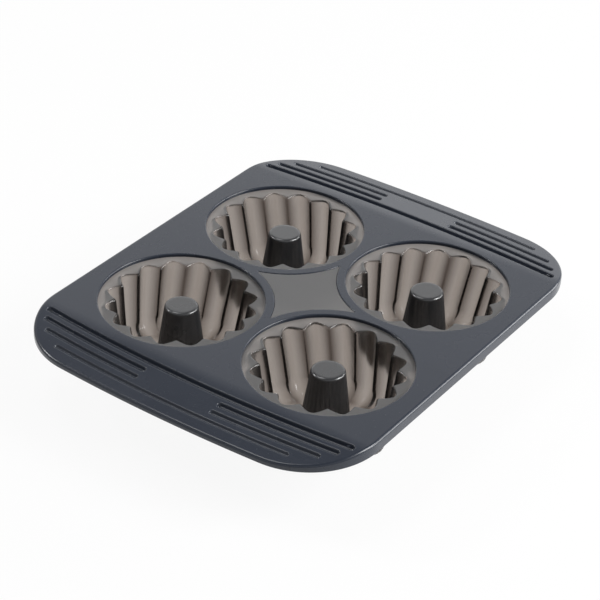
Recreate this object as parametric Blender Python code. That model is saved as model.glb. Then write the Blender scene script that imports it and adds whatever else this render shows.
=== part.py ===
"""Silicone mould for four mini kugelhopf cakes. Metres, +Z up.

The mould stands on its four cups at z = 0, centred on the Z axis, with a grip at each end of Y.
Dark silicone makes the frame and the four cores. See-through silicone makes the four fluted
cups and the star-shaped window between them. The two silicones lap over each other where they
are bonded, with CLEARANCE between the solids.
"""

from math import acos, atan2, cos, hypot, pi, radians, sin, sqrt, tan

import bmesh
import bpy
from mathutils import Matrix

# Whole mould
TOTAL_HEIGHT = 0.0380
CLEARANCE = 0.0003

# Frame: a plate with four round openings and a turned-down skirt
APERTURE_RADIUS = 0.0400
BRIDGE_X = 0.0054
BRIDGE_Y = 0.0050
SIDE_MARGIN = 0.0103
CORNER_RADIUS = 0.0390
PLATE_THICKNESS = 0.0030
LIP_THICKNESS = 0.0015
LIP_ROUND = 0.0006
SKIRT_DEPTH = 0.0062
SKIRT_WALL = 0.0030
SHOULDER_RADIUS = 0.0014
HOLLOW_CORNER = 0.0120

# Grips: the ends of the frame, which slope down and carry grooves
END_LAND = 0.0078
SLOPE_LAND = 0.0035
GRIP_SLOPE = radians(6.2)
GRIP_EDGE = 0.0032
GRIP_MARGIN = 0.0045
GRIP_MARGIN_GROWTH = 0.0010
BOW_RADIUS = 0.9000
GROOVE_COUNT = 4
GROOVE_PITCH = 0.0060
GROOVE_WIDTH = 0.0036
GROOVE_NARROWING = 0.0004
GROOVE_DEPTH = 0.0020
GROOVE_FADE = 0.0003
GROOVE_WALL_RUN = 0.0007
PANEL_HALF_WIDTH = 0.0205
PANEL_GROOVES = (1, 2)

# Cups: ring cups with a flange under the frame's lip and flutes that twist as they go down
CUP_WALL = 0.0016
FLANGE_LAP = 0.0016
FLANGE_THICKNESS = 0.0013
FLANGE_SHOWING = 0.0029
EDGE_ROUND = 0.0006
CREST_EDGE_ROUND = 0.0020
FLUTE_COUNT = 16
FLUTE_DEPTH = 0.0051
CROWN_ROUND = 0.35
FLUTE_TWIST = radians(7.0)
FLUTE_RUNOUT = 0.30
WALL_TAPER = radians(6.8)
FLOOR_FILLET = 0.0090

# Cores: hollow cones bonded in the floor of each cup by a foot
CORE_SETBACK = 0.0035
CORE_TOP_RADIUS = 0.0083
CORE_TAPER = radians(7.6)
CORE_RIM_ROUND = 0.0015
CORE_WALL = 0.0016
FOOT_LAP = 0.0018
FOOT_HEIGHT = 0.0006

# Window: a star between the four rings, held under the frame's lip like the cups
RING_LAP = 0.0018
WINDOW_TIP_RADIUS = 0.0005
WINDOW_LAP = 0.0012
WINDOW_RECESS = 0.0003

# Facets
CORNER_STEPS = 10
END_STEPS = 4
SHOULDER_STEPS = 3
APERTURE_STEPS = 48
FLANGE_STEPS = 40
CORE_STEPS = 20
ARC_STEPS = 8
TIP_STEPS = 2
EDGE_STEPS = 2
FILLET_STEPS = 3
LONG_GROOVE_STEPS = 14
SHORT_GROOVE_STEPS = 6
LIP_STEPS = 2
HOLLOW_STEPS = 3
CORE_RIM_STEPS = 2
FLUTE_SAMPLES = (-1.0, -0.50, -0.18, 0.18, 0.50)
SHARP_ANGLE = radians(35)
CUTTER_OVERRUN = 0.0002
CUTTER_REACH = 0.0020
WELD = 0.000001

# Sizes that follow from the ones above
PITCH_X = 2 * APERTURE_RADIUS + BRIDGE_X
PITCH_Y = 2 * APERTURE_RADIUS + BRIDGE_Y
HALF_WIDTH = PITCH_X / 2 + APERTURE_RADIUS + SIDE_MARGIN
GRIP_START = PITCH_Y / 2 + APERTURE_RADIUS + END_LAND
SLOPE_START = PITCH_Y / 2 + APERTURE_RADIUS + SLOPE_LAND
HALF_LENGTH = GRIP_START + GROOVE_COUNT * GROOVE_PITCH + GRIP_EDGE
BOW_CENTRE = HALF_LENGTH - BOW_RADIUS
CORNER_X = HALF_WIDTH - CORNER_RADIUS
CORNER_Y = BOW_CENTRE + sqrt((BOW_RADIUS - CORNER_RADIUS) ** 2 - CORNER_X**2)

SKIRT_BOTTOM = TOTAL_HEIGHT - SKIRT_DEPTH
PLATE_BOTTOM = TOTAL_HEIGHT - PLATE_THICKNESS
LIP_BOTTOM = TOTAL_HEIGHT - LIP_THICKNESS
FLANGE_TOP = LIP_BOTTOM - CLEARANCE
FLANGE_BOTTOM = FLANGE_TOP - FLANGE_THICKNESS
FLANGE_RADIUS = APERTURE_RADIUS + FLANGE_LAP

LOBE_RADIUS = APERTURE_RADIUS - FLANGE_SHOWING - EDGE_ROUND
WALL_TOP = FLANGE_TOP - EDGE_ROUND
FLOOR_TOP = CUP_WALL
FILLET_Z = FLOOR_TOP + FLOOR_FILLET
WALL_FOOT = FILLET_Z - FLOOR_FILLET * sin(WALL_TAPER)
FILLET_R = LOBE_RADIUS - (WALL_TOP - WALL_FOOT) * tan(WALL_TAPER) - FLOOR_FILLET * cos(WALL_TAPER)

CORE_TOP = TOTAL_HEIGHT - CORE_SETBACK
CORE_SHOULDER = CORE_TOP - CORE_RIM_ROUND
REBATE_TOP = FOOT_HEIGHT + CLEARANCE

WINDOW_ARC_RADIUS = max(PITCH_X, PITCH_Y) / 2 + RING_LAP

QUADRANTS = ((1, 1), (-1, 1), (-1, -1), (1, -1))
CUPS = {
    "back_left": (-1, 1),
    "back_right": (1, 1),
    "front_left": (-1, -1),
    "front_right": (1, -1),
}


def clear_scene():
    for obj in list(bpy.data.objects):
        bpy.data.objects.remove(obj, do_unlink=True)


def silicone(name, colour, roughness, transmission=0.0):
    """A moulded silicone, which lets light through where transmission is above 0."""
    material = bpy.data.materials.new(name)
    material.use_nodes = True
    shader = material.node_tree.nodes["Principled BSDF"]
    shader.inputs["Base Color"].default_value = (*colour, 1.0)
    shader.inputs["Roughness"].default_value = roughness
    shader.inputs["Metallic"].default_value = 0.0
    shader.inputs["Transmission Weight"].default_value = transmission
    return material


def steps(start, end, count):
    """count + 1 evenly spaced values from start to end."""
    return [start + (end - start) * i / count for i in range(count + 1)]


def cup_centre(side, end):
    return side * PITCH_X / 2, end * PITCH_Y / 2


def finished_mesh(name, bm, material=None):
    """Turns a bmesh into a mesh with outward normals, smooth where it is round."""
    bmesh.ops.recalc_face_normals(bm, faces=bm.faces)
    if bm.calc_volume(signed=True) < 0:
        bmesh.ops.reverse_faces(bm, faces=bm.faces)
    mesh = bpy.data.meshes.new(name)
    bm.to_mesh(mesh)
    bm.free()
    mesh.shade_smooth()
    mesh.set_sharp_from_angle(angle=SHARP_ANGLE)
    if material:
        mesh.materials.append(material)
    return mesh


def place(name, mesh, x=0.0, y=0.0):
    obj = bpy.data.objects.new(name, mesh)
    obj.location = (x, y, 0.0)
    bpy.context.scene.collection.objects.link(obj)
    return obj


def cut(target, name, mesh, x=0.0, y=0.0):
    """Cuts a mesh out of the target. The cutter stays in the scene as an unrendered guide."""
    cutter = place(name, mesh, x, y)
    cutter.hide_render = True
    cutter.display_type = "WIRE"
    modifier = target.modifiers.new(name, "BOOLEAN")
    modifier.operation = "DIFFERENCE"
    modifier.solver = "EXACT"
    modifier.object = cutter


def loft(bm, rings, cap=True):
    """Joins rings of the same length, each a list of (x, y, z), and with cap closes both ends."""
    loops = [[bm.verts.new(point) for point in ring] for ring in rings]
    for lower, upper in zip(loops, loops[1:]):
        for i in range(len(lower)):
            bm.faces.new((lower[i - 1], lower[i], upper[i], upper[i - 1]))
    if cap:
        bm.faces.new(loops[0][::-1])
        bm.faces.new(loops[-1])
    return loops


def revolved(name, profile, count, material=None):
    """Turns a profile of (radius, z), which starts and ends on the axis, once round Z."""
    bm = bmesh.new()
    verts = [bm.verts.new((radius, 0.0, z)) for radius, z in profile]
    edges = [bm.edges.new(pair) for pair in zip(verts, verts[1:])]
    axis = {"cent": (0.0, 0.0, 0.0), "axis": (0.0, 0.0, 1.0)}
    bmesh.ops.spin(bm, geom=verts + edges, angle=2 * pi, steps=count, **axis)
    bmesh.ops.remove_doubles(bm, verts=bm.verts, dist=WELD)
    return finished_mesh(name, bm, material)


# Frame


def frame_outline(inset):
    """Plan of the frame, anticlockwise: straight sides, round corners and slightly bowed ends."""
    corner = CORNER_RADIUS - inset
    bow = BOW_RADIUS - inset
    turn = atan2(CORNER_Y - BOW_CENTRE, CORNER_X)
    quarter = [
        (CORNER_X + corner * cos(a), CORNER_Y + corner * sin(a)) for a in steps(0, turn, CORNER_STEPS)
    ]
    quarter += [
        (bow * cos(a), BOW_CENTRE + bow * sin(a)) for a in steps(turn, pi / 2, END_STEPS)[1:-1]
    ]
    half = quarter + [(0.0, BOW_CENTRE + bow)] + [(-x, y) for x, y in reversed(quarter)]
    return half + [(-x, -y) for x, y in half]


def slope_drop(y):
    """How far the grip's surface lies below the flat plate at this distance along Y."""
    return max(0.0, abs(y) - SLOPE_START) * tan(GRIP_SLOPE)


def frame_body(material):
    """The frame before its openings: skirt, rounded shoulder and the sloping ends."""
    bm = bmesh.new()
    rings = [[(x, y, SKIRT_BOTTOM) for x, y in frame_outline(0.0)]]
    for angle in steps(0, pi / 2, SHOULDER_STEPS):
        inset = SHOULDER_RADIUS * (1 - cos(angle))
        z = TOTAL_HEIGHT - SHOULDER_RADIUS * (1 - sin(angle))
        rings.append([(x, y, z) for x, y in frame_outline(inset)])
    loft(bm, rings)
    for end in (-1, 1):
        everything = [*bm.verts, *bm.edges, *bm.faces]
        crease = (0.0, end * SLOPE_START, 0.0)
        bmesh.ops.bisect_plane(bm, geom=everything, plane_co=crease, plane_no=(0.0, 1.0, 0.0), dist=WELD)
    for vert in bm.verts:
        if vert.co.z > SKIRT_BOTTOM + WELD:
            vert.co.z -= slope_drop(vert.co.y)
    return finished_mesh("frame", bm, material)


def aperture_hole():
    """One round opening: a counterbore for the cup's flange, then the lip with its rounded edge."""
    recess = FLANGE_RADIUS + CLEARANCE
    below = SKIRT_BOTTOM - CUTTER_REACH
    above = TOTAL_HEIGHT + CUTTER_REACH
    profile = [(0.0, below), (recess, below), (recess, LIP_BOTTOM), (APERTURE_RADIUS, LIP_BOTTOM)]
    for angle in steps(0, pi / 2, LIP_STEPS):
        radius = APERTURE_RADIUS + LIP_ROUND * (1 - cos(angle))
        profile.append((radius, TOTAL_HEIGHT - LIP_ROUND * (1 - sin(angle))))
    profile += [(APERTURE_RADIUS + LIP_ROUND, above), (0.0, above)]
    return revolved("aperture_hole", profile, APERTURE_STEPS)


def underside_hollow():
    """The hollow of the frame seen from below, inside the skirt and between the solid grips."""
    half_x = HALF_WIDTH - SKIRT_WALL - HOLLOW_CORNER
    half_y = SLOPE_START - HOLLOW_CORNER
    outline = []
    for quadrant, (side, end) in enumerate(QUADRANTS):
        for angle in steps(quadrant * pi / 2, (quadrant + 1) * pi / 2, HOLLOW_STEPS):
            x = side * half_x + HOLLOW_CORNER * cos(angle)
            outline.append((x, end * half_y + HOLLOW_CORNER * sin(angle)))
    bm = bmesh.new()
    loft(bm, [[(x, y, z) for x, y in outline] for z in (SKIRT_BOTTOM - CUTTER_REACH, PLATE_BOTTOM)])
    return finished_mesh("underside_hollow", bm)


def groove_end_angle(radius, margin):
    """Where a groove of this radius round the bow's centre comes within margin of the edge."""
    reach = hypot(CORNER_X, CORNER_Y - BOW_CENTRE)
    margin_radius = CORNER_RADIUS - margin
    cosine = (radius**2 + reach**2 - margin_radius**2) / (2 * radius * reach)
    return atan2(CORNER_X, CORNER_Y - BOW_CENTRE) + acos(min(1.0, cosine))


def add_groove(bm, number, start_angle, end_angle, count):
    """Sweeps one groove round the bow's centre: two steep walls and a flat floor between them."""
    start = GRIP_START + number * GROOVE_PITCH - BOW_CENTRE
    finish = start + GROOVE_WIDTH - number * GROOVE_NARROWING
    depth = GROOVE_DEPTH - number * GROOVE_FADE
    flare = GROOVE_WALL_RUN * CUTTER_OVERRUN / depth
    profile = (
        (start - flare, -CUTTER_OVERRUN),
        (start + GROOVE_WALL_RUN, depth),
        (finish - GROOVE_WALL_RUN, depth),
        (finish + flare, -CUTTER_OVERRUN),
    )
    sections = []
    for angle in steps(start_angle, end_angle, count):
        places = [(radius * sin(angle), BOW_CENTRE + radius * cos(angle), below) for radius, below in profile]
        sections.append([(x, y, TOTAL_HEIGHT - slope_drop(y) - below) for x, y, below in places])
    loft(bm, sections)


def grip_grooves():
    """All the grooves of one grip. Those in PANEL_GROOVES leave a bare panel in the middle."""
    bm = bmesh.new()
    for number in range(GROOVE_COUNT):
        radius = GRIP_START + number * GROOVE_PITCH - BOW_CENTRE
        tip = groove_end_angle(radius, GRIP_MARGIN + number * GRIP_MARGIN_GROWTH)
        if number in PANEL_GROOVES:
            panel = PANEL_HALF_WIDTH / radius
            add_groove(bm, number, -tip, -panel, SHORT_GROOVE_STEPS)
            add_groove(bm, number, panel, tip, SHORT_GROOVE_STEPS)
        else:
            add_groove(bm, number, -tip, tip, LONG_GROOVE_STEPS)
    return finished_mesh("grip_grooves", bm)


def arc(centre, radius, first, last, count):
    """Points of an arc, the short way round, from facing one point to facing another."""
    start = atan2(first[1] - centre[1], first[0] - centre[0])
    end = atan2(last[1] - centre[1], last[0] - centre[0])
    turn = (end - start + pi) % (2 * pi) - pi
    angles = steps(start, start + turn, count)
    return [(centre[0] + radius * cos(a), centre[1] + radius * sin(a)) for a in angles]


def star_outline(arc_radius):
    """The window's plan at this distance from the cups' centres: hollow sides and round tips."""
    reach = WINDOW_ARC_RADIUS + WINDOW_TIP_RADIUS
    tip_x = PITCH_X / 2 - sqrt(reach**2 - (PITCH_Y / 2) ** 2)
    tip_y = PITCH_Y / 2 - sqrt(reach**2 - (PITCH_X / 2) ** 2)
    tips = ((tip_x, 0.0), (0.0, tip_y), (-tip_x, 0.0), (0.0, -tip_y))
    cups = [cup_centre(side, end) for side, end in QUADRANTS]
    outline = []
    for k, tip in enumerate(tips):
        outline += arc(tip, reach - arc_radius, cups[k - 1], cups[k], TIP_STEPS)
        outline += arc(cups[k], arc_radius, tip, tips[(k + 1) % 4], ARC_STEPS)[1:-1]
    return outline


def stepped_star(name, levels, material=None):
    """A star-shaped solid with a step. levels holds (arc radius, bottom, top) from the lowest up."""
    bm = bmesh.new()
    rings = []
    for arc_radius, bottom, top in levels:
        rings += [[(x, y, z) for x, y in star_outline(arc_radius)] for z in (bottom, top)]
    loft(bm, rings)
    return finished_mesh(name, bm, material)


def build_frame(material):
    frame = place("frame", frame_body(material))
    cut(frame, "cut_underside", underside_hollow())
    window_hole = (
        (WINDOW_ARC_RADIUS - WINDOW_LAP - CLEARANCE, SKIRT_BOTTOM - CUTTER_REACH, LIP_BOTTOM),
        (WINDOW_ARC_RADIUS, LIP_BOTTOM, TOTAL_HEIGHT + CUTTER_REACH),
    )
    cut(frame, "cut_window", stepped_star("window_hole", window_hole))
    aperture = aperture_hole()
    for name, (side, end) in CUPS.items():
        cut(frame, "cut_aperture_" + name, aperture, *cup_centre(side, end))
    back = grip_grooves()
    front = back.copy()
    front.transform(Matrix.Rotation(pi, 4, "Z"))
    cut(frame, "cut_grooves_back", back)
    cut(frame, "cut_grooves_front", front)


def build_window(material):
    levels = (
        (WINDOW_ARC_RADIUS - WINDOW_LAP, FLANGE_BOTTOM, FLANGE_TOP),
        (WINDOW_ARC_RADIUS + CLEARANCE, FLANGE_TOP, TOTAL_HEIGHT - WINDOW_RECESS),
    )
    place("centre_window", stepped_star("centre_window", levels, material))


# Cups


def flute_dip(across):
    """How far the wall comes in from the lobe's crown, 0 to 1. across is 0 at the crown and 1 at a cusp.

    Lobes are pointed arches: straight flanks that meet in a crown as round as CROWN_ROUND.
    """
    return (hypot(across, CROWN_ROUND) - CROWN_ROUND) / (hypot(1, CROWN_ROUND) - CROWN_ROUND)


def flute_angle(flute, across, z):
    """Where a flute's line stands round the cup at this height. The flutes twist as they go down."""
    turn = FLUTE_TWIST * (FLANGE_TOP - z) / (FLANGE_TOP - FLOOR_TOP)
    return 2 * pi * (flute + across / 2) / FLUTE_COUNT + turn


def fluted_ring(radius, z, lean, offset, depth):
    """One ring of a fluted wall. lean is the angle of the wall's normal below the horizontal."""
    ring = []
    for flute in range(FLUTE_COUNT):
        for across in FLUTE_SAMPLES:
            out = offset - depth * flute_dip(across)
            angle = flute_angle(flute, across, z)
            r = radius + out * cos(lean)
            ring.append((r * cos(angle), r * sin(angle), z - out * sin(lean)))
    return ring


def fillet_ring(share, offset, depth):
    """A ring on the fillet between wall and floor. share is 0 at the wall and 1 at the floor."""
    lean = WALL_TAPER + (pi / 2 - WALL_TAPER) * share
    radius = FILLET_R + FLOOR_FILLET * cos(lean)
    return fluted_ring(radius, FILLET_Z - FLOOR_FILLET * sin(lean), lean, offset, depth)


def wall_radius(z):
    return LOBE_RADIUS - (WALL_TOP - z) * tan(WALL_TAPER)


def edge_ring(slope):
    """A ring on the rounded edge between flange and wall, whose surface falls at this slope.

    The round is small in the crowns and grows to CREST_EDGE_ROUND on the crests between them.
    """
    ring = []
    for flute in range(FLUTE_COUNT):
        for across in FLUTE_SAMPLES:
            dip = flute_dip(across)
            edge = EDGE_ROUND + (CREST_EDGE_ROUND - EDGE_ROUND) * dip
            radius = wall_radius(FLANGE_TOP - edge) - FLUTE_DEPTH * dip + edge * (1 - sin(slope))
            z = FLANGE_TOP - edge * (1 - cos(slope))
            angle = flute_angle(flute, across, z)
            ring.append((radius * cos(angle), radius * sin(angle), z))
    return ring


def inner_skin():
    """Rings of the side that holds the batter, from the flange to the floor."""
    rings = [edge_ring(slope) for slope in steps(0, pi / 2, EDGE_STEPS)]
    for share in steps(0, 1, FILLET_STEPS):
        rings.append(fillet_ring(share, 0.0, FLUTE_DEPTH * (1 - share * (1 - FLUTE_RUNOUT))))
    return rings


def outer_skin():
    """Rings of the outside, from the floor up to the flange. The flutes fade into a flat foot."""
    rings = []
    for share in steps(1, 0, FILLET_STEPS):
        rings.append(fillet_ring(share, CUP_WALL, FLUTE_DEPTH * (1 - share)))
    rings.append(fluted_ring(wall_radius(FLANGE_BOTTOM), FLANGE_BOTTOM, 0.0, CUP_WALL, FLUTE_DEPTH))
    return rings


def circle(radius, z, count):
    return [(radius * cos(2 * pi * i / count), radius * sin(2 * pi * i / count), z) for i in range(count)]


def stitch(bm, first, second):
    """Joins two loops round Z with triangles, where their counts differ."""
    facing = first[0].co.xy.normalized()
    start = min(range(len(second)), key=lambda i: (second[i].co.xy.normalized() - facing).length)
    second = second[start:] + second[:start]
    i = j = 0
    while i < len(first) or j < len(second):
        a, b = first[i % len(first)], second[j % len(second)]
        if j == len(second) or (i + 1) * len(second) <= (j + 1) * len(first):
            i += 1
            bm.faces.new((a, b, first[i % len(first)]))
        else:
            j += 1
            bm.faces.new((a, b, second[j % len(second)]))


def core_radius(z):
    """The core's radius at this height, which the hole in the cup's floor also follows."""
    return CORE_TOP_RADIUS + (CORE_SHOULDER - z) * tan(CORE_TAPER)


def cup_mesh(material):
    """A ring cup whose flutes turn anticlockwise going down, seen from above."""
    bm = bmesh.new()
    inside = loft(bm, inner_skin(), cap=False)
    outside = loft(bm, outer_skin(), cap=False)
    flange_rings = [circle(FLANGE_RADIUS, z, FLANGE_STEPS) for z in (FLANGE_BOTTOM, FLANGE_TOP)]
    flange = loft(bm, flange_rings, cap=False)
    hole = core_radius(REBATE_TOP) + CLEARANCE
    rebate = hole + FOOT_LAP
    levels = ((hole, FLOOR_TOP), (hole, REBATE_TOP), (rebate, REBATE_TOP), (rebate, 0.0))
    seat = loft(bm, [circle(radius, z, CORE_STEPS) for radius, z in levels], cap=False)
    stitch(bm, outside[-1], flange[0])
    stitch(bm, flange[-1], inside[0])
    stitch(bm, inside[-1], seat[0])
    stitch(bm, seat[-1], outside[0])
    return finished_mesh("cup", bm, material)


def mirrored(mesh):
    """The other hand of a mesh, with its faces still pointing outwards."""
    other = mesh.copy()
    other.transform(Matrix.Scale(-1, 4, (0.0, 1.0, 0.0)))
    other.flip_normals()
    return other


def core_mesh(material):
    """A cone with a rounded rim, hollow from below, on a foot that laps under the cup's floor."""
    profile = [(0.0, CORE_TOP)]
    for angle in steps(pi / 2, 0, CORE_RIM_STEPS):
        radius = CORE_TOP_RADIUS - CORE_RIM_ROUND * (1 - cos(angle))
        profile.append((radius, CORE_SHOULDER + CORE_RIM_ROUND * sin(angle)))
    foot = core_radius(REBATE_TOP) + FOOT_LAP
    inner_top = CORE_TOP - CORE_WALL
    profile += [
        (core_radius(FOOT_HEIGHT), FOOT_HEIGHT),
        (foot, FOOT_HEIGHT),
        (foot, 0.0),
        (core_radius(0.0) - CORE_WALL, 0.0),
        (core_radius(inner_top) - CORE_WALL, inner_top),
        (0.0, inner_top),
    ]
    return revolved("core", profile, CORE_STEPS, material)


def build_cups(cup_material, core_material):
    """Neighbouring cups are mirror images, so their flutes turn opposite ways."""
    anticlockwise = cup_mesh(cup_material)
    clockwise = mirrored(anticlockwise)
    core = core_mesh(core_material)
    for name, (side, end) in CUPS.items():
        cup = anticlockwise if side == end else clockwise
        place("cup_" + name, cup, *cup_centre(side, end))
        place("core_" + name, core, *cup_centre(side, end))


def main():
    clear_scene()
    build_frame(silicone("frame_silicone", (0.105, 0.113, 0.137), 0.45))
    build_window(silicone("window_silicone", (0.215, 0.205, 0.190), 0.50, transmission=0.35))
    build_cups(
        silicone("cup_silicone", (0.300, 0.265, 0.235), 0.35, transmission=0.45),
        silicone("core_silicone", (0.050, 0.052, 0.056), 0.30),
    )


main()
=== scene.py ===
"""Looks of the silicone mould for four mini kugelhopf cakes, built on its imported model.

Metres, +Z up. The mould stands on its four cups at z = 0, with a grip at each end of Y.
Frame, cups, cores and window are modelled again here with fine faces, in the places and at
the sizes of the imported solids, and get their silicones. The gaps in the laps between them are
SEAM wide, which is narrower than in the solids.
"""

from math import acos, atan2, cos, hypot, pi, radians, sin, sqrt, tan

import bmesh
import bpy
from mathutils import Matrix, Vector


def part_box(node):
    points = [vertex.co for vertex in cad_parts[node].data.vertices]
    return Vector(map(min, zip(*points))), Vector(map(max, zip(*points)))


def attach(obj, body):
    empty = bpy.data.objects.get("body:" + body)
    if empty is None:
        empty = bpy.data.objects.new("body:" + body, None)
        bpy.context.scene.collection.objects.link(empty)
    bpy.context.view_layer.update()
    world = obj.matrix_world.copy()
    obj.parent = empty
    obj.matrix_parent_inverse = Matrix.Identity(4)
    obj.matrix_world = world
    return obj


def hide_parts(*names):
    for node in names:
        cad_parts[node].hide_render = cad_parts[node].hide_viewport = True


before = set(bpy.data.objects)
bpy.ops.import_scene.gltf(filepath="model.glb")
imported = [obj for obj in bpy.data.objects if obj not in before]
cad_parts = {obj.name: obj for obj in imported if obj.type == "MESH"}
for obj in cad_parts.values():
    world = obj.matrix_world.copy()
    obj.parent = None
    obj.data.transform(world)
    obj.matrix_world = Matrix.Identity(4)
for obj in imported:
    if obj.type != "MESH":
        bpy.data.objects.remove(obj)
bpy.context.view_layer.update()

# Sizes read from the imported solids
FRAME_LOW, FRAME_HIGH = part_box("frame")
CUP_LOW, CUP_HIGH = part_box("cup_back_right")
CORE_LOW, CORE_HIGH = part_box("core_back_right")
WINDOW_LOW, WINDOW_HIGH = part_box("centre_window")
CUP_X = (CUP_LOW.x + CUP_HIGH.x) / 2
CUP_Y = (CUP_LOW.y + CUP_HIGH.y) / 2
HALF_WIDTH = FRAME_HIGH.x
HALF_LENGTH = FRAME_HIGH.y
TOP = FRAME_HIGH.z
SKIRT_BOTTOM = FRAME_LOW.z
FLANGE_RADIUS = (CUP_HIGH.x - CUP_LOW.x) / 2
FLANGE_TOP = CUP_HIGH.z
CORE_TOP = CORE_HIGH.z
FOOT_RADIUS = (CORE_HIGH.x - CORE_LOW.x) / 2
WINDOW_TOP = WINDOW_HIGH.z
WINDOW_BOTTOM = WINDOW_LOW.z

# Frame
SEAM = 0.00004
CUTTER_OVERRUN = 0.00005
CUTTER_REACH = 0.002
APERTURE_RADIUS = 0.0400
CORNER_RADIUS = 0.0390
BOW_RADIUS = 0.9000
PLATE_THICKNESS = 0.0030
LIP_ROUND = 0.0006
SKIRT_WALL = 0.0030
SHOULDER_RADIUS = 0.0014
HEM_RADIUS = 0.0005
HOLLOW_CORNER = 0.0120

# Grips
SLOPE_LAND = 0.0035
SLOPE_BLEND = 0.0040
GRIP_SLOPE = radians(6.2)
GRIP_LAND = 0.0078
GRIP_MARGIN = 0.0045
GRIP_MARGIN_GROWTH = 0.0010
GROOVE_COUNT = 4
GROOVE_PITCH = 0.0060
GROOVE_WIDTH = 0.0036
GROOVE_NARROWING = 0.0004
GROOVE_DEPTH = 0.0020
GROOVE_FADE = 0.0003
GROOVE_WALL_RUN = 0.0007
GROOVE_EDGE_ROUND = 0.00065
GROOVE_FLOOR_ROUND = 0.00060
PANEL_HALF_WIDTH = 0.0205
PANEL_GROOVES = (1, 2)

# Cups
CUP_WALL = 0.0016
FLANGE_THICKNESS = 0.0013
FLANGE_SHOWING = 0.0029
EDGE_ROUND = 0.0006
CREST_EDGE_ROUND = 0.0020
FLUTE_COUNT = 16
FLUTE_DEPTH = 0.0051
CROWN_ROUND = 0.35
CREST_ROUND = 0.08
FLUTE_TWIST = radians(7.0)
FLUTE_RUNOUT = 0.30
WALL_TAPER = radians(6.8)
FLOOR_FILLET = 0.0090
UNDER_FILLET = 0.0008
FLANGE_LAND = 0.0002

# Cores
CORE_TOP_RADIUS = 0.0083
CORE_TAPER = radians(7.6)
CORE_RIM_ROUND = 0.0015
CORE_WALL = 0.0016
FOOT_HEIGHT = 0.0006
LINE_COUNT = 100
LINE_DEPTH = 0.00020
LINE_ROUND = 0.5

# Window
RING_LAP = 0.0018
WINDOW_TIP_RADIUS = 0.0005
WINDOW_LAP = 0.0012
WINDOW_EDGE_ROUND = 0.00025
RING_ROUND = 0.0005

# Fineness of the meshes
WELD = 0.000001
MERGE_GAP = 0.000002
ROUNDING_GUARD = 0.0001
FRAME_SHARP = radians(32)
TURNED_SHARP = radians(45)
CORNER_STEPS = 36
BOW_STEPS = 14
HEM_STEPS = 4
SHOULDER_STEPS = 9
SLOPE_STEPS = 8
OPENING_STEPS = 180
LIP_STEPS = 6
HOLLOW_STEPS = 16
GROOVE_STEPS_PER_RADIAN = 320
GROOVE_FEWEST_STEPS = 8
GROOVE_FLOOR_STEPS = 4
GROOVE_EDGE_STEPS = 6
GROOVE_END_STEPS = 12
WINDOW_TIP_STEPS = 8
WINDOW_SIDE_STEPS = 40
WINDOW_EDGE_STEPS = 4
FLUTE_STEPS = 16
CREST_CROWDING = 1.6
CUP_EDGE_STEPS = 8
CUP_WALL_STEPS = 18
CUP_FILLET_STEPS = 14
CUP_FLOOR_STEPS = 8
OUTER_FILLET_STEPS = 12
OUTER_WALL_STEPS = 14
UNDER_FILLET_STEPS = 4
LINE_STEPS = 4
LINE_START_STEPS = 4
CORE_TOP_STEPS = 6
CORE_RIM_STEPS = 8
CORE_SIDE_STEPS = 16
CORE_INSIDE_STEPS = 8

# Slate silicone of the frame and the cores. Tones are the darker and the lighter colour.
FRAME_TONES = ((0.018, 0.023, 0.035), (0.023, 0.029, 0.043))
CORE_TONES = ((0.026, 0.027, 0.029), (0.036, 0.037, 0.040))
SLATE_IOR = 1.42
SLATE_CLOUD_SCALE = 38.0
SLATE_GRAIN_SCALE = 2600.0
SLATE_GRAIN_DEPTH = 0.00006
DUST_SCALE = 900.0
DUST_STOPS = ((0.74, 0.0), (0.80, 1.0))
CLOUD_ROUGHNESS = 0.10
DUST_ROUGHNESS = 0.10

# See-through silicone of the cups and the window
CLEAR_TONES = ((0.89, 0.86, 0.83), (0.95, 0.92, 0.89))
# The crest colour is painted shade: the cups' base colour darkens to it towards the crests between two
# lobes.
CREST_PAINTED_SHADE = (0.24, 0.21, 0.195)
CUP_DEPTH_TONE = (0.38, 0.32, 0.275)
WINDOW_DEPTH_TONE = (0.40, 0.38, 0.36)
ABSORPTION_DENSITY = 1000.0
CLEAR_IOR = 1.41
CLEAR_TRANSMISSION = 0.94
CLEAR_ROUGHNESS = 0.18
CLEAR_CLOUD_SCALE = 60.0
CLEAR_GRAIN_SCALE = 1500.0
CLEAR_GRAIN_DEPTH = 0.00004

# Frosted skin on the flanges and the window
FLANGE_FROST = ((0.31, 0.31, 0.315), (0.36, 0.36, 0.365))
WINDOW_FROST = ((0.30, 0.30, 0.305), (0.34, 0.34, 0.345))
FROST_TRANSMISSION = 0.70
FROST_ROUGHNESS = 0.25
FROST_GRAIN_DEPTH = 0.00008
FROST_BLEND = 0.0004
FLANGE_FROST_DEPTH = 0.0003
WINDOW_FROST_DEPTH = 0.001

# Camera and stage
CAMERA_AZIMUTH = radians(33.61)
CAMERA_ELEVATION = radians(33.49)
CAMERA_ROLL = radians(2.94)
CAMERA_DISTANCE = 0.9763
CAMERA_LENS = 122.24
CAMERA_REACH = 20.0
LOOK_AT = (0.00216, -0.00792, TOP)
WHITE = (1.0, 1.0, 1.0, 1.0)
FLOOR_SIZE = 6.0
FLOOR_GREY = 0.80
FLOOR_WHITE_SEEN = 0.92
FLOOR_WHITE_THROUGH = 0.10
SOFT_LIGHT = 0.20
BACKDROP_BAND = ((0.38, 0.2), (0.48, 1.0), (0.57, 1.0), (0.69, 0.0))

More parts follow.
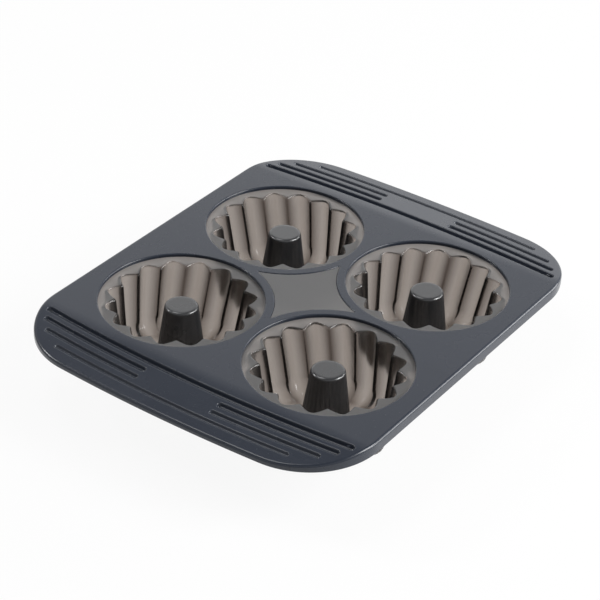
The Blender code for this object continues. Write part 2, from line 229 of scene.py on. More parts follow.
# Lights: place, width and height, and watts. All of them face the origin.
SOFTBOXES = {
    "right_softbox": ((1.10, 0.50, 0.95), (0.65, 0.65), 20.0),
    "low_softbox": ((1.0, 0.95, 0.30), (1.2, 0.5), 14.0),
    "left_softbox": ((-1.10, -0.40, 0.90), (0.25, 0.25), 5.0),
    "back_softbox": ((-0.83, 1.25, 0.42), (2.0, 0.6), 4.0),
    "top_softbox": ((-0.45, -0.05, 1.25), (0.6, 0.45), 4.0),
}

# Places worked out from the sizes
CUTTER_BOTTOM = SKIRT_BOTTOM - CUTTER_REACH
CUTTER_TOP = TOP + CUTTER_REACH
WALL_TOP = FLANGE_TOP - EDGE_ROUND
LOBE_RADIUS = APERTURE_RADIUS - FLANGE_SHOWING - EDGE_ROUND
FILLET_Z = CUP_WALL + FLOOR_FILLET
WALL_FOOT = FILLET_Z - FLOOR_FILLET * sin(WALL_TAPER)
FILLET_R = LOBE_RADIUS - (WALL_TOP - WALL_FOOT) * tan(WALL_TAPER) - FLOOR_FILLET * cos(WALL_TAPER)
CORE_SHOULDER = CORE_TOP - CORE_RIM_ROUND
BOW_CENTRE = HALF_LENGTH - BOW_RADIUS
CORNER_X = HALF_WIDTH - CORNER_RADIUS
CORNER_Y = BOW_CENTRE + sqrt((BOW_RADIUS - CORNER_RADIUS) ** 2 - CORNER_X**2)
SLOPE_START = CUP_Y + APERTURE_RADIUS + SLOPE_LAND
GRIP_START = CUP_Y + APERTURE_RADIUS + GRIP_LAND
WINDOW_ARC_RADIUS = max(CUP_X, CUP_Y) + RING_LAP
FLANGE_FROST_FROM = FLANGE_TOP - FLANGE_FROST_DEPTH
WINDOW_FROST_FROM = WINDOW_TOP - WINDOW_FROST_DEPTH

QUADRANTS = ((1, 1), (-1, 1), (-1, -1), (1, -1))
CUPS = {
    "back_left": (-1, 1),
    "back_right": (1, 1),
    "front_left": (-1, -1),
    "front_right": (1, -1),
}


class Wire:
    """An output socket in a node tree. Arithmetic on wires adds Math nodes to the tree."""

    def __init__(self, tree, socket):
        self.tree = tree
        self.socket = socket

    def maths(self, operation, *values):
        return add(self.tree, "ShaderNodeMath", {"operation": operation}, dict(enumerate(values)))

    def __add__(self, other):
        return self.maths("ADD", self, other)

    def __sub__(self, other):
        return self.maths("SUBTRACT", self, other)

    def __rsub__(self, other):
        return self.maths("SUBTRACT", other, self)

    def __mul__(self, other):
        return self.maths("MULTIPLY", self, other)

    def __truediv__(self, other):
        return self.maths("DIVIDE", self, other)

    def __pow__(self, other):
        return self.maths("POWER", self, other)

    def __gt__(self, other):
        return self.maths("GREATER_THAN", self, other)

    def __abs__(self):
        return self.maths("ABSOLUTE", self)

    def root(self):
        return self.maths("SQRT", self)

    def whole(self):
        return self.maths("FLOOR", self)

    __radd__ = __add__
    __rmul__ = __mul__


def add(tree, kind, settings=None, sockets=None, output=0):
    """Adds a node, with its settings set first and then the values or wires of its sockets."""
    node = tree.nodes.new(kind)
    for name, value in (settings or {}).items():
        if name == "stops":
            set_stops(node.color_ramp, value)
        else:
            setattr(node, name, value)
    for key, value in (sockets or {}).items():
        if isinstance(value, Wire):
            tree.links.new(value.socket, node.inputs[key])
        else:
            node.inputs[key].default_value = value
    return Wire(tree, node.outputs[output])


def set_stops(ramp, stops):
    """Gives a colour ramp its stops, each a position and a grey value."""
    while len(ramp.elements) < len(stops):
        ramp.elements.new(0.5)
    for element, (position, grey) in zip(ramp.elements, stops):
        element.position = position
        element.color = (grey, grey, grey, 1.0)


# Materials


def new_material(name, **constants):
    """A material's tree and its shader, whose unchanging values are set on its own sockets."""
    material = bpy.data.materials.new(name)
    material.use_nodes = True
    tree = material.node_tree
    shader = tree.nodes["Principled BSDF"]
    for socket, value in constants.items():
        shader.inputs[socket.replace("_", " ")].default_value = value
    return material, tree, shader


def noise(tree, place, scale, detail=2.0, roughness=0.5):
    sockets = {"Vector": place, "Scale": scale, "Detail": detail, "Roughness": roughness}
    return add(tree, "ShaderNodeTexNoise", None, sockets)


def ramp(tree, value, stops):
    return add(tree, "ShaderNodeValToRGB", {"stops": stops}, {0: value})


def blend_colours(tree, share, first, second):
    settings = {"data_type": "RGBA"}
    sockets = {"Factor": share, 6: (*first, 1.0), 7: (*second, 1.0)}
    return add(tree, "ShaderNodeMix", settings, sockets, output=2)


def height_of(tree, place):
    return add(tree, "ShaderNodeSeparateXYZ", None, {0: place}, output=2)


def ray_kinds(tree):
    """Three wires, each 1 for one kind of ray: camera, glossy and transmission."""
    path = tree.nodes.new("ShaderNodeLightPath")
    return [Wire(tree, path.outputs[f"Is {kind} Ray"]) for kind in ("Camera", "Glossy", "Transmission")]


def connect(tree, wire, shader, socket):
    tree.links.new(wire.socket, shader.inputs[socket])


def bump(tree, height, strength, distance):
    return add(tree, "ShaderNodeBump", None, {"Height": height, "Strength": strength, "Distance": distance})


def slate_silicone(name, tones, roughness, coat, coat_roughness, grain=1.0):
    """Opaque silicone with a satin skin: fine matt grain, faint clouds of tone and a little dust."""
    material, tree, shader = new_material(
        name, IOR=SLATE_IOR, Coat_Weight=coat, Coat_Roughness=coat_roughness
    )
    place = add(tree, "ShaderNodeTexCoord", output=3)
    clouds = noise(tree, place, SLATE_CLOUD_SCALE, 3.0)
    grains = noise(tree, place, SLATE_GRAIN_SCALE, 2.0, 0.6)
    specks = ramp(tree, noise(tree, place, DUST_SCALE, 1.0), DUST_STOPS)
    colour = blend_colours(tree, clouds * 0.8 + grains * 0.2, *tones)
    connect(tree, colour, shader, "Base Color")
    uneven = clouds * CLOUD_ROUGHNESS + specks * DUST_ROUGHNESS
    connect(tree, uneven + (roughness - CLOUD_ROUGHNESS / 2), shader, "Roughness")
    connect(tree, bump(tree, grains, 0.25 * grain, SLATE_GRAIN_DEPTH), shader, "Normal")
    return material


def clear_silicone(name, absorbed, frosted, frost_from):
    """Smoky see-through silicone, darker where it is thicker, with painted shade on the crests between two
    lobes.

    Above frost_from its skin is frosted.
    """
    material, tree, shader = new_material(name, IOR=CLEAR_IOR, Transmission_Weight=CLEAR_TRANSMISSION)
    place = add(tree, "ShaderNodeTexCoord", output=3)
    clouds = noise(tree, place, CLEAR_CLOUD_SCALE, 3.0)
    grains = noise(tree, place, CLEAR_GRAIN_SCALE, 2.0)
    crest = add(tree, "ShaderNodeAttribute", {"attribute_name": "crest"}, output=2)
    # Painted shade: the base colour darkens towards the crest colour where the attribute crest is high.
    sockets = {"Factor": crest, 6: blend_colours(tree, clouds, *CLEAR_TONES), 7: (*CREST_PAINTED_SHADE, 1.0)}
    colour = add(tree, "ShaderNodeMix", {"data_type": "RGBA"}, sockets, output=2)
    connect(tree, colour, shader, "Base Color")
    connect(tree, clouds * 0.08 + CLEAR_ROUGHNESS, shader, "Roughness")
    connect(tree, bump(tree, grains, 0.10, CLEAR_GRAIN_DEPTH), shader, "Normal")
    frost = tree.nodes.new("ShaderNodeBsdfPrincipled")
    frost.inputs["IOR"].default_value = CLEAR_IOR
    frost.inputs["Transmission Weight"].default_value = FROST_TRANSMISSION
    connect(tree, blend_colours(tree, clouds * 0.7 + grains * 0.3, *frosted), frost, "Base Color")
    connect(tree, clouds * 0.10 + FROST_ROUGHNESS, frost, "Roughness")
    connect(tree, bump(tree, grains, 0.15, FROST_GRAIN_DEPTH), frost, "Normal")
    settings = {"operation": "SUBTRACT", "use_clamp": True}
    sockets = {0: height_of(tree, place) / FROST_BLEND, 1: frost_from / FROST_BLEND}
    share = add(tree, "ShaderNodeMath", settings, sockets)
    sockets = {0: share, 1: Wire(tree, shader.outputs[0]), 2: Wire(tree, frost.outputs[0])}
    mixed = add(tree, "ShaderNodeMixShader", None, sockets)
    output = tree.nodes["Material Output"]
    tree.links.new(mixed.socket, output.inputs["Surface"])
    thickness = {"Color": (*absorbed, 1.0), "Density": ABSORPTION_DENSITY}
    inside = add(tree, "ShaderNodeVolumeAbsorption", None, thickness)
    tree.links.new(inside.socket, output.inputs["Volume"])
    return material


# Meshes


def mesh_object(name, mesh):
    obj = bpy.data.objects.new(name, mesh)
    bpy.context.scene.collection.objects.link(obj)
    return obj


def evaluated_mesh(obj):
    """The mesh that an object's modifiers make, as a mesh of its own."""
    graph = bpy.context.evaluated_depsgraph_get()
    return bpy.data.meshes.new_from_object(obj.evaluated_get(graph), depsgraph=graph)


def face_outwards(bm):
    """Gives a closed shape outward normals."""
    bmesh.ops.recalc_face_normals(bm, faces=bm.faces)
    if bm.calc_volume(signed=True) < 0:
        bmesh.ops.reverse_faces(bm, faces=bm.faces)


def mesh_from(bm, name):
    face_outwards(bm)
    mesh = bpy.data.meshes.new(name)
    bm.to_mesh(mesh)
    bm.free()
    return mesh


def shade(mesh, sharp):
    """Smooth where faces meet at less than the sharp angle."""
    mesh.shade_smooth()
    mesh.set_sharp_from_angle(angle=sharp)


def even_normals(piece):
    """Keeps flat faces flat where they run smoothly into narrow round edges."""
    shade(piece.data, FRAME_SHARP)
    weighted = piece.modifiers.new("even_normals", "WEIGHTED_NORMAL")
    weighted.keep_sharp = True
    piece.data = evaluated_mesh(piece)
    piece.modifiers.clear()


def steps(start, end, count):
    """count + 1 evenly spaced values from start to end."""
    return [start + (end - start) * i / count for i in range(count + 1)]


def loft(bm, rings):
    """Joins rings of the same length, each a list of (x, y, z), and closes both ends."""
    loops = [[bm.verts.new(point) for point in ring] for ring in rings]
    for lower, upper in zip(loops, loops[1:]):
        for i in range(len(lower)):
            bm.faces.new((lower[i - 1], lower[i], upper[i], upper[i - 1]))
    bm.faces.new(loops[0][::-1])
    bm.faces.new(loops[-1])


def cut(target, name, mesh):
    """Cuts a mesh out of the target, whose own mesh becomes the result."""
    cutter = mesh_object(name, mesh)
    modifier = target.modifiers.new(name, "BOOLEAN")
    modifier.operation = "DIFFERENCE"
    modifier.solver = "EXACT"
    modifier.object = cutter
    result = evaluated_mesh(target)
    target.modifiers.clear()
    target.data = result
    bpy.data.objects.remove(cutter)


def finish_piece(piece, node, material):
    """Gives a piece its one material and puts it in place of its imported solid."""
    piece.data.materials.clear()
    piece.data.materials.append(material)
    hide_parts(node)
    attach(piece, "root")


# Frame


def frame_outline(inset):
    """Plan of the frame, anticlockwise: straight sides, round corners and slightly bowed ends."""
    corner = CORNER_RADIUS - inset
    bow = BOW_RADIUS - inset
    turn = atan2(CORNER_Y - BOW_CENTRE, CORNER_X)
    round_corner = steps(0, turn, CORNER_STEPS)
    quarter = [(CORNER_X + corner * cos(a), CORNER_Y + corner * sin(a)) for a in round_corner]
    bowed_end = steps(turn, pi / 2, BOW_STEPS)[1:-1]
    quarter += [(bow * cos(a), BOW_CENTRE + bow * sin(a)) for a in bowed_end]
    half = quarter + [(0.0, BOW_CENTRE + bow)] + [(-x, y) for x, y in reversed(quarter)]
    return half + [(-x, -y) for x, y in half]


def slope_drop(y):
    """How far the grip lies below the flat plate at this distance along Y, with a soft start."""
    past = abs(y) - SLOPE_START
    if past <= -SLOPE_BLEND:
        return 0.0
    if past < SLOPE_BLEND:
        return tan(GRIP_SLOPE) * (past + SLOPE_BLEND) ** 2 / (4 * SLOPE_BLEND)
    return tan(GRIP_SLOPE) * past


def frame_body():
    """The frame before its openings: skirt with a rounded hem, round shoulder and sloping ends."""
    bm = bmesh.new()
    levels = []
    for angle in steps(pi / 2, 0, HEM_STEPS):
        levels.append((HEM_RADIUS * (1 - cos(angle)), SKIRT_BOTTOM + HEM_RADIUS * (1 - sin(angle))))
    for angle in steps(0, pi / 2, SHOULDER_STEPS):
        levels.append((SHOULDER_RADIUS * (1 - cos(angle)), TOP - SHOULDER_RADIUS * (1 - sin(angle))))
    loft(bm, [[(x, y, z) for x, y in frame_outline(inset)] for inset, z in levels])
    for end in (-1, 1):
        for y in steps(SLOPE_START - SLOPE_BLEND, SLOPE_START + SLOPE_BLEND, SLOPE_STEPS):
            everything = [*bm.verts, *bm.edges, *bm.faces]
            place = (0.0, end * y, 0.0)
            bmesh.ops.bisect_plane(bm, geom=everything, plane_co=place, plane_no=(0, 1, 0), dist=WELD)
    for vert in bm.verts:
        if vert.co.z > TOP - SHOULDER_RADIUS - WELD:
            vert.co.z -= slope_drop(vert.co.y)
    return mesh_from(bm, "frame")


def revolved(name, profile, count, x, y):
    """Turns a profile of (radius, z), which starts and ends on the axis, round an upright axis."""
    bm = bmesh.new()
    verts = [bm.verts.new((x + radius, y, z)) for radius, z in profile]
    edges = [bm.edges.new(pair) for pair in zip(verts, verts[1:])]
    axis = {"cent": (x, y, 0.0), "axis": (0.0, 0.0, 1.0)}
    bmesh.ops.spin(bm, geom=verts + edges, angle=2 * pi, steps=count, **axis)
    bmesh.ops.remove_doubles(bm, verts=bm.verts, dist=WELD)
    return mesh_from(bm, name)


def aperture_hole(x, y):
    """One round opening: a counterbore for the cup's flange, then the lip with its rounded edge."""
    recess = FLANGE_RADIUS + SEAM
    lip_bottom = FLANGE_TOP + SEAM
    profile = [(0.0, CUTTER_BOTTOM), (recess, CUTTER_BOTTOM)]
    profile += [(recess, lip_bottom), (APERTURE_RADIUS, lip_bottom)]
    for angle in steps(0, pi / 2, LIP_STEPS):
        radius = APERTURE_RADIUS + LIP_ROUND * (1 - cos(angle))
        profile.append((radius, TOP - LIP_ROUND * (1 - sin(angle))))
    profile += [(APERTURE_RADIUS + LIP_ROUND, CUTTER_TOP), (0.0, CUTTER_TOP)]
    return revolved("aperture", profile, OPENING_STEPS, x, y)


def underside_hollow():
    half_x = HALF_WIDTH - SKIRT_WALL - HOLLOW_CORNER
    half_y = SLOPE_START - HOLLOW_CORNER
    outline = []
    for quadrant, (side, end) in enumerate(QUADRANTS):
        for angle in steps(quadrant * pi / 2, (quadrant + 1) * pi / 2, HOLLOW_STEPS):
            x = side * half_x + HOLLOW_CORNER * cos(angle)
            outline.append((x, end * half_y + HOLLOW_CORNER * sin(angle)))
    bm = bmesh.new()
    loft(bm, [[(x, y, z) for x, y in outline] for z in (CUTTER_BOTTOM, TOP - PLATE_THICKNESS)])
    return mesh_from(bm, "hollow")


def groove_end_angle(radius, margin):
    """Where a groove of this radius round the bow's centre comes within margin of the edge."""
    reach = hypot(CORNER_X, CORNER_Y - BOW_CENTRE)
    margin_radius = CORNER_RADIUS - margin
    cosine = (radius**2 + reach**2 - margin_radius**2) / (2 * radius * reach)
    return atan2(CORNER_X, CORNER_Y - BOW_CENTRE) + acos(min(1.0, cosine))


def groove_levels(half_width, depth):
    """Half of a groove's section from its floor up, as (distance from the middle, depth)."""
    steepness = atan2(depth, GROOVE_WALL_RUN)
    reach = half_width + GROOVE_EDGE_ROUND * tan(steepness / 2)
    floor = half_width - GROOVE_WALL_RUN - GROOVE_FLOOR_ROUND * tan(steepness / 2)
    levels = []
    for angle in steps(0, steepness, GROOVE_FLOOR_STEPS):
        below = depth - GROOVE_FLOOR_ROUND * (1 - cos(angle))
        levels.append((floor + GROOVE_FLOOR_ROUND * sin(angle), below))
    for angle in steps(steepness, 0, GROOVE_EDGE_STEPS)[:-1]:
        levels.append((reach - GROOVE_EDGE_ROUND * sin(angle), GROOVE_EDGE_ROUND * (1 - cos(angle))))
    last, below = levels[-1]
    levels.append((reach + (reach - last) * CUTTER_OVERRUN / below, -CUTTER_OVERRUN))
    return levels


def add_groove(bm, number, start_angle, end_angle, end):
    """A groove round the bow's centre, whose section also sweeps round both of its ends."""
    half_width = (GROOVE_WIDTH - number * GROOVE_NARROWING) / 2
    middle = GRIP_START + number * GROOVE_PITCH + half_width - BOW_CENTRE
    first = start_angle + half_width / middle
    last = end_angle - half_width / middle
    count = max(GROOVE_FEWEST_STEPS, round((last - first) * GROOVE_STEPS_PER_RADIAN))
    round_end = steps(0, pi, GROOVE_END_STEPS)[1:-1]
    rings = []
    for out, below in groove_levels(half_width, GROOVE_DEPTH - number * GROOVE_FADE):
        places = [(middle + out, angle) for angle in steps(first, last, count)]
        places += [(middle + out * cos(a), last + out * sin(a) / middle) for a in round_end]
        places += [(middle - out, angle) for angle in steps(last, first, count)]
        places += [(middle - out * cos(a), first - out * sin(a) / middle) for a in round_end]
        ring = []
        for radius, angle in places:
            y = BOW_CENTRE + radius * cos(angle)
            ring.append((end * radius * sin(angle), end * y, TOP - slope_drop(y) - below))
        rings.append(ring)
    loft(bm, rings)


def grip_grooves(end):
    """All the grooves of one grip. Those in PANEL_GROOVES leave a bare panel in the middle."""
    bm = bmesh.new()
    for number in range(GROOVE_COUNT):
        radius = GRIP_START + number * GROOVE_PITCH - BOW_CENTRE
        tip = groove_end_angle(radius, GRIP_MARGIN + number * GRIP_MARGIN_GROWTH)
        panel = PANEL_HALF_WIDTH / radius
        stretches = ((-tip, -panel), (panel, tip)) if number in PANEL_GROOVES else ((-tip, tip),)
        for first, last in stretches:
            add_groove(bm, number, first, last, end)
    return mesh_from(bm, "grooves")


def arc(centre, radius, first, last, count):
    """Points of an arc, the short way round, from facing one point to facing another."""
    start = atan2(first[1] - centre[1], first[0] - centre[0])
    end = atan2(last[1] - centre[1], last[0] - centre[0])
    turn = (end - start + pi) % (2 * pi) - pi
    angles = steps(start, start + turn, count)
    return [(centre[0] + radius * cos(a), centre[1] + radius * sin(a)) for a in angles]


def star_outline(arc_radius):
    """The window's plan at this distance from the cups' centres: hollow sides and round tips."""
    reach = WINDOW_ARC_RADIUS + WINDOW_TIP_RADIUS
    tip_x = CUP_X - sqrt(reach**2 - CUP_Y**2)
    tip_y = CUP_Y - sqrt(reach**2 - CUP_X**2)
    tips = ((tip_x, 0.0), (0.0, tip_y), (-tip_x, 0.0), (0.0, -tip_y))
    cups = [(side * CUP_X, end * CUP_Y) for side, end in QUADRANTS]
    outline = []
    for k, tip in enumerate(tips):
        outline += arc(tip, reach - arc_radius, cups[k - 1], cups[k], WINDOW_TIP_STEPS)
        outline += arc(cups[k], arc_radius, tip, tips[(k + 1) % 4], WINDOW_SIDE_STEPS)[1:-1]
    return outline


def star(name, levels):
    """A star-shaped solid. levels holds (arc radius, z) from the lowest up."""
    bm = bmesh.new()
    loft(bm, [[(x, y, z) for x, y in star_outline(radius)] for radius, z in levels])
    return mesh_from(bm, name)


def window_hole():
    lap = WINDOW_ARC_RADIUS - WINDOW_LAP - SEAM
    lip = FLANGE_TOP + SEAM
    levels = [(lap, CUTTER_BOTTOM), (lap, lip), (WINDOW_ARC_RADIUS, lip)]
    for angle in steps(0, pi / 2, LIP_STEPS):
        level = TOP - RING_ROUND * (1 - sin(angle))
        levels.append((WINDOW_ARC_RADIUS - RING_ROUND * (1 - cos(angle)), level))
    levels.append((WINDOW_ARC_RADIUS - RING_ROUND, CUTTER_TOP))
    return star("window_hole", levels)


def build_frame(material):
    piece = mesh_object("frame_piece", frame_body())
    cut(piece, "hollow", underside_hollow())
    cut(piece, "window", window_hole())
    for side, end in QUADRANTS:
        cut(piece, "aperture", aperture_hole(side * CUP_X, end * CUP_Y))
    for end in (-1, 1):
        cut(piece, "grooves", grip_grooves(end))
    even_normals(piece)
    finish_piece(piece, "frame", material)


def build_window(material):
    inner = WINDOW_ARC_RADIUS + SEAM
    levels = [
        (WINDOW_ARC_RADIUS - WINDOW_LAP, WINDOW_BOTTOM),
        (WINDOW_ARC_RADIUS - WINDOW_LAP, FLANGE_TOP),
        (inner, FLANGE_TOP),
    ]
    for angle in steps(0, pi / 2, WINDOW_EDGE_STEPS):
        inset = WINDOW_EDGE_ROUND * (1 - cos(angle))
        levels.append((inner + inset, WINDOW_TOP - WINDOW_EDGE_ROUND * (1 - sin(angle))))
    piece = mesh_object("window_piece", star("window_piece", levels))
    even_normals(piece)
    finish_piece(piece, "centre_window", material)


# Cups and cores, turned from a profile


def flute_dip(across, crown, crest):
    """How far the wall comes in between a lobe's round crown and the crest between two lobes."""
    near = 1 - ((1 - across) ** 2 + crest**2).root()
    return (near**2 + crown**2).root()


def input_of(tree, name, kind):
    socket = tree.interface.new_socket(name=name, in_out="INPUT", socket_type=kind)
    return socket.identifier


def fluted_turning():
    """A tree that turns a profile round an upright axis and works flutes into it.

    The profile's points hold how far the flutes push them in and up, as shares of the depth,
    and how far the flutes have twisted there. The attribute crest says how near a point is to the crest
    between two lobes; the cups' material paints shade on the crests with it.
    """
    tree = bpy.data.node_groups.new("fluted_turning", "GeometryNodeTree")
    tree.interface.new_socket(name="Geometry", in_out="OUTPUT", socket_type="NodeSocketGeometry")
    kinds = {
        "Profile": "NodeSocketGeometry",
        "Flutes": "NodeSocketInt",
        "Steps per flute": "NodeSocketInt",
        "Depth": "NodeSocketFloat",
        "Crown round": "NodeSocketFloat",
        "Crest round": "NodeSocketFloat",
        "Rows": "NodeSocketInt",
        "Centre": "NodeSocketVector",
        "Material": "NodeSocketMaterial",
    }
    ids = {name: input_of(tree, name, kind) for name, kind in kinds.items()}
    group = tree.nodes.new("NodeGroupInput")
    given = {name: Wire(tree, group.outputs[name]) for name in kinds}

    points = add(tree, "GeometryNodeAttributeDomainSize", None, {"Geometry": given["Profile"]})
    columns = given["Flutes"] * given["Steps per flute"]
    sizes = {"Size X": 1.0, "Size Y": 1.0, "Vertices X": columns + 1, "Vertices Y": given["Rows"]}
    grid = add(tree, "GeometryNodeMeshGrid", None, sizes)
    index = add(tree, "GeometryNodeInputIndex")
    column = (index / given["Rows"] + ROUNDING_GUARD).whole()
    row = index - column * given["Rows"]
    wrapped = row - points * (row > points - 0.5)

    def sampled(name, kind):
        found = add(tree, "GeometryNodeInputNamedAttribute", {"data_type": kind}, {"Name": name})
        sockets = {"Geometry": given["Profile"], "Value": found, "Index": wrapped}
        return add(tree, "GeometryNodeSampleIndex", {"data_type": kind}, sockets)

    radius = add(tree, "ShaderNodeSeparateXYZ", None, {0: sampled("position", "FLOAT_VECTOR")})
    height = Wire(tree, radius.socket.node.outputs["Z"])

    flute = column / given["Steps per flute"]
    number = (flute + ROUNDING_GUARD).whole()
    share = flute - number
    past = share > 0.5 + ROUNDING_GUARD
    across = 1 - abs(1 - share * 2) ** CREST_CROWDING
    angle = (number + past + (1 - past * 2) * across * 0.5) * (2 * pi) / given["Flutes"]
    angle = angle + sampled("turn", "FLOAT")

    rounds = (given["Crown round"], given["Crest round"])
    crown = flute_dip(across * 0, *rounds)
    crest = flute_dip(across * 0 + 1, *rounds)
    dip = (flute_dip(across, *rounds) - crown) / (crest - crown)
    offset = dip * given["Depth"]
    push_in = sampled("push_in", "FLOAT")
    out = radius - offset * push_in
    up = height + offset * sampled("push_up", "FLOAT")
    x = out * angle.maths("COSINE", angle)
    y = out * angle.maths("SINE", angle)
    turned = add(tree, "ShaderNodeCombineXYZ", None, {0: x, 1: y, 2: up})
    moved = add(tree, "ShaderNodeVectorMath", {"operation": "ADD"}, {0: turned, 1: given["Centre"]})

    shaped = add(tree, "GeometryNodeSetPosition", None, {"Geometry": grid, "Position": moved})
    settings = {"data_type": "FLOAT", "domain": "POINT"}
    # The crest attribute drives the painted shade on the cups' crests.
    sockets = {"Geometry": shaped, "Name": "crest", "Value": dip * push_in}
    marked = add(tree, "GeometryNodeStoreNamedAttribute", settings, sockets)
    joined = add(tree, "GeometryNodeMergeByDistance", None, {"Geometry": marked, "Distance": MERGE_GAP})
    real = add(tree, "GeometryNodeRealizeInstances", None, {"Geometry": joined})
    done = add(tree, "GeometryNodeSetMaterial", None, {"Geometry": real, "Material": given["Material"]})
    result = tree.nodes.new("NodeGroupOutput")
    tree.links.new(done.socket, result.inputs["Geometry"])
    return tree, ids


def profile_mesh(name, points):
    """A profile as a mesh of points. Each is (radius, z, push in, push up, turn)."""
    mesh = bpy.data.meshes.new(name)
    mesh.from_pydata([(r, 0.0, z) for r, z, _, _, _ in points], [], [])
    columns = dict(zip(("push_in", "push_up", "turn"), list(zip(*points))[2:]))
    for attribute, values in columns.items():
        mesh.attributes.new(attribute, "FLOAT", "POINT").data.foreach_set("value", values)
    return mesh


def turned_piece(name, turning, profile, closed, values):
    """Runs the turning tree over a profile and keeps the result as a plain mesh."""
    tree, ids = turning
    piece = mesh_object(name, profile_mesh(name, profile))
    modifier = piece.modifiers.new("turning", "NODES")
    modifier.node_group = tree
    values = {**values, "Rows": len(profile) + closed}
    for key, value in values.items():
        modifier[ids[key]] = value
    mesh = evaluated_mesh(piece)
    piece.modifiers.clear()
    piece.data = mesh
    bm = bmesh.new()
    bm.from_mesh(mesh)
    face_outwards(bm)
    bm.to_mesh(mesh)
    bm.free()
    shade(mesh, TURNED_SHARP)
    return piece


def twist_at(z, hand):
    return hand * FLUTE_TWIST * (FLANGE_TOP - z) / (FLANGE_TOP - CUP_WALL)


def wall_radius(z):
    return LOBE_RADIUS - (WALL_TOP - z) * tan(WALL_TAPER)


def cup_profile(hand):
    """The closed section of a ring cup at a lobe's crown, down the inside and up the outside.

    hand is 1 or -1 and says which way the flutes twist.
    """
    points = []
    lag = (CREST_EDGE_ROUND - EDGE_ROUND) / FLUTE_DEPTH

    def put(radius, z, fluting=0.0, lean=0.0, inward=0.0, down=0.0):
        push = (fluting * cos(lean) + inward, fluting * sin(lean) - down)
        points.append((radius, z, *push, twist_at(z, hand)))

    edge = [(0.0, FLANGE_LAND)] + [(slope, 0.0) for slope in steps(0, pi / 2, CUP_EDGE_STEPS)]
    for slope, land in edge:
        radius = LOBE_RADIUS + EDGE_ROUND * (1 - sin(slope)) + land
        inward = lag * (tan(WALL_TAPER) - 1 + sin(slope))
        put(radius, FLANGE_TOP - EDGE_ROUND * (1 - cos(slope)), 1.0, 0.0, inward, lag * (1 - cos(slope)))
    for share in steps(0, 1, CUP_WALL_STEPS)[1:-1]:
        z = WALL_TOP + (WALL_FOOT - WALL_TOP) * share
        late = lag * (1 - share)
        put(wall_radius(z), z, 1.0, WALL_TAPER * share, late * tan(WALL_TAPER), late)
    for share in steps(0, 1, CUP_FILLET_STEPS):
        lean = WALL_TAPER + (pi / 2 - WALL_TAPER) * share
        fluting = 1 - share * (1 - FLUTE_RUNOUT)
        put(FILLET_R + FLOOR_FILLET * cos(lean), FILLET_Z - FLOOR_FILLET * sin(lean), fluting, lean)
    hole = core_radius(FOOT_HEIGHT) + SEAM
    for share in steps(0, 1, CUP_FLOOR_STEPS)[1:]:
        fade = FLUTE_RUNOUT * (1 - share) ** 2
        put(FILLET_R + (hole - FILLET_R) * share, CUP_WALL, fade, pi / 2)
    put(hole, FOOT_HEIGHT + SEAM)
    put(FOOT_RADIUS + SEAM, FOOT_HEIGHT + SEAM)
    put(FOOT_RADIUS + SEAM, 0.0)
    for share in steps(1, 0, OUTER_FILLET_STEPS):
        lean = WALL_TAPER + (pi / 2 - WALL_TAPER) * share
        reach = FLOOR_FILLET + CUP_WALL
        put(FILLET_R + reach * cos(lean), FILLET_Z - reach * sin(lean), 1 - share, lean)
    under = FLANGE_TOP - FLANGE_THICKNESS
    for z in steps(WALL_FOOT, under - UNDER_FILLET, OUTER_WALL_STEPS)[1:]:
        put(wall_radius(z) + CUP_WALL, z, 1.0)
    corner = wall_radius(under - UNDER_FILLET) + CUP_WALL
    for angle in steps(0, pi / 2, UNDER_FILLET_STEPS)[1:]:
        put(corner + UNDER_FILLET * (1 - cos(angle)), under - UNDER_FILLET * (1 - sin(angle)), 1.0)
    put(FLANGE_RADIUS, under)
    put(FLANGE_RADIUS, FLANGE_TOP)
    return points


def core_radius(z):
    return CORE_TOP_RADIUS + (CORE_SHOULDER - z) * tan(CORE_TAPER)


def core_profile():
    """The section of a core from the middle of its top, down its side and up inside it."""
    flat = CORE_TOP_RADIUS - CORE_RIM_ROUND
    points = [(share * flat, CORE_TOP) for share in steps(0, 1, CORE_TOP_STEPS)]
    for angle in steps(pi / 2, 0, CORE_RIM_STEPS)[1:]:
        radius = CORE_TOP_RADIUS - CORE_RIM_ROUND * (1 - cos(angle))
        points.append((radius, CORE_SHOULDER + CORE_RIM_ROUND * sin(angle)))
    top_count = len(points)
    points += [(core_radius(z), z) for z in steps(CORE_SHOULDER, FOOT_HEIGHT, CORE_SIDE_STEPS)[1:]]
    side_count = len(points)
    points += [(FOOT_RADIUS, FOOT_HEIGHT), (FOOT_RADIUS, 0.0), (core_radius(0.0) - CORE_WALL, 0.0)]
    inner_top = CORE_TOP - CORE_WALL
    inside = steps(0.0, inner_top, CORE_INSIDE_STEPS)[1:]
    points += [(core_radius(z) - CORE_WALL, z) for z in inside]
    points.append((0.0, inner_top))
    start = steps(0, 1, LINE_START_STEPS)[1:]
    fluting = [0.0] * (top_count - len(start)) + start + [1.0] * (side_count - top_count)
    fluting += [0.0] * (len(points) - len(fluting))
    return [(r, z, share, 0.0, 0.0) for (r, z), share in zip(points, fluting)]


def build_cups(cup_material, core_material):
    turning = fluted_turning()
    core = core_profile()
    for name, (side, end) in CUPS.items():
        centre = Vector((side * CUP_X, end * CUP_Y, 0.0))
        cup_values = {
            "Flutes": FLUTE_COUNT,
            "Steps per flute": FLUTE_STEPS,
            "Depth": FLUTE_DEPTH,
            "Crown round": CROWN_ROUND,
            "Crest round": CREST_ROUND,
            "Centre": centre,
            "Material": cup_material,
        }
        profile = cup_profile(side * end)
        cup = turned_piece("cup_piece_" + name, turning, profile, True, cup_values)
        finish_piece(cup, "cup_" + name, cup_material)
        core_values = {
            **cup_values,
            "Flutes": LINE_COUNT,
            "Steps per flute": LINE_STEPS,
            "Depth": LINE_DEPTH,
            "Crown round": LINE_ROUND,
            "Crest round": LINE_ROUND,
            "Material": core_material,
        }
        piece = turned_piece("core_piece_" + name, turning, core, False, core_values)
        finish_piece(piece, "core_" + name, core_material)


# Stage


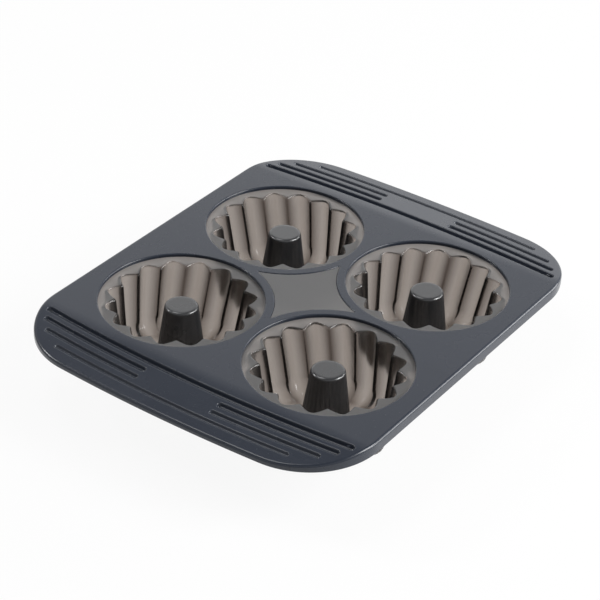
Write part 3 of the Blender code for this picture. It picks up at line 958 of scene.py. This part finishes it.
def build_floor():
    bm = bmesh.new()
    half = FLOOR_SIZE / 2
    bm.faces.new([bm.verts.new((x * half, y * half, 0.0)) for x, y in QUADRANTS])
    mesh = bpy.data.meshes.new("floor")
    bm.to_mesh(mesh)
    bm.free()
    material = bpy.data.materials.new("pale_floor")
    material.use_nodes = True
    tree = material.node_tree
    tree.nodes.remove(tree.nodes["Principled BSDF"])
    lit = add(tree, "ShaderNodeBsdfDiffuse", None, {"Color": (FLOOR_GREY, FLOOR_GREY, FLOOR_GREY, 1.0)})
    white = add(tree, "ShaderNodeEmission", None, {"Color": WHITE, "Strength": 1.0})
    seen, mirrored, through = ray_kinds(tree)
    share = seen * FLOOR_WHITE_SEEN + mirrored + through * FLOOR_WHITE_THROUGH
    mixed = add(tree, "ShaderNodeMixShader", None, {0: share, 1: lit, 2: white})
    tree.links.new(mixed.socket, tree.nodes["Material Output"].inputs["Surface"])
    mesh.materials.append(material)
    floor = mesh_object("floor", mesh)


def build_world():
    world = bpy.data.worlds.new("studio")
    bpy.context.scene.world = world
    world.use_nodes = True
    tree = world.node_tree
    tree.nodes.remove(tree.nodes["Background"])
    soft = add(tree, "ShaderNodeBackground", None, {"Color": WHITE, "Strength": SOFT_LIGHT})
    white = add(tree, "ShaderNodeBackground", None, {"Color": WHITE, "Strength": 1.0})
    direction = add(tree, "ShaderNodeTexCoord")
    backdrop = ramp(tree, height_of(tree, direction), BACKDROP_BAND)
    seen, mirrored, through = ray_kinds(tree)
    share = seen + mirrored * backdrop + through
    mixed = add(tree, "ShaderNodeMixShader", None, {0: share, 1: soft, 2: white})
    tree.links.new(mixed.socket, tree.nodes["World Output"].inputs["Surface"])


def build_lights():
    for name, (place, size, power) in SOFTBOXES.items():
        light = bpy.data.lights.new(name, "AREA")
        light.shape = "RECTANGLE"
        light.size, light.size_y = size
        light.energy = power
        obj = bpy.data.objects.new(name, light)
        obj.location = place
        obj.rotation_euler = (-Vector(place)).to_track_quat("-Z", "Y").to_euler()
        bpy.context.scene.collection.objects.link(obj)


def build_camera():
    camera = bpy.data.objects.new("camera", bpy.data.cameras.new("camera"))
    camera.data.lens = CAMERA_LENS
    camera.data.clip_end = CAMERA_REACH
    back = Vector((
        sin(CAMERA_AZIMUTH) * cos(CAMERA_ELEVATION),
        -cos(CAMERA_AZIMUTH) * cos(CAMERA_ELEVATION),
        sin(CAMERA_ELEVATION),
    ))
    aim = (-back).to_track_quat("-Z", "Y").to_matrix().to_4x4()
    turn = aim @ Matrix.Rotation(CAMERA_ROLL, 4, "Z")
    camera.matrix_world = Matrix.Translation(Vector(LOOK_AT) + back * CAMERA_DISTANCE) @ turn
    bpy.context.scene.collection.objects.link(camera)
    bpy.context.scene.camera = camera


build_camera()
build_frame(
    slate_silicone("frame_silicone", FRAME_TONES, roughness=0.27, coat=0.25, coat_roughness=0.14)
)
build_window(clear_silicone("window_silicone", WINDOW_DEPTH_TONE, WINDOW_FROST, WINDOW_FROST_FROM))
build_cups(
    clear_silicone("cup_silicone", CUP_DEPTH_TONE, FLANGE_FROST, FLANGE_FROST_FROM),
    slate_silicone(
        "core_silicone", CORE_TONES, roughness=0.26, coat=0.8, coat_roughness=0.10, grain=0.6
    ),
)
build_floor()
build_world()
build_lights()
bpy.context.scene.view_settings.view_transform = "Standard"
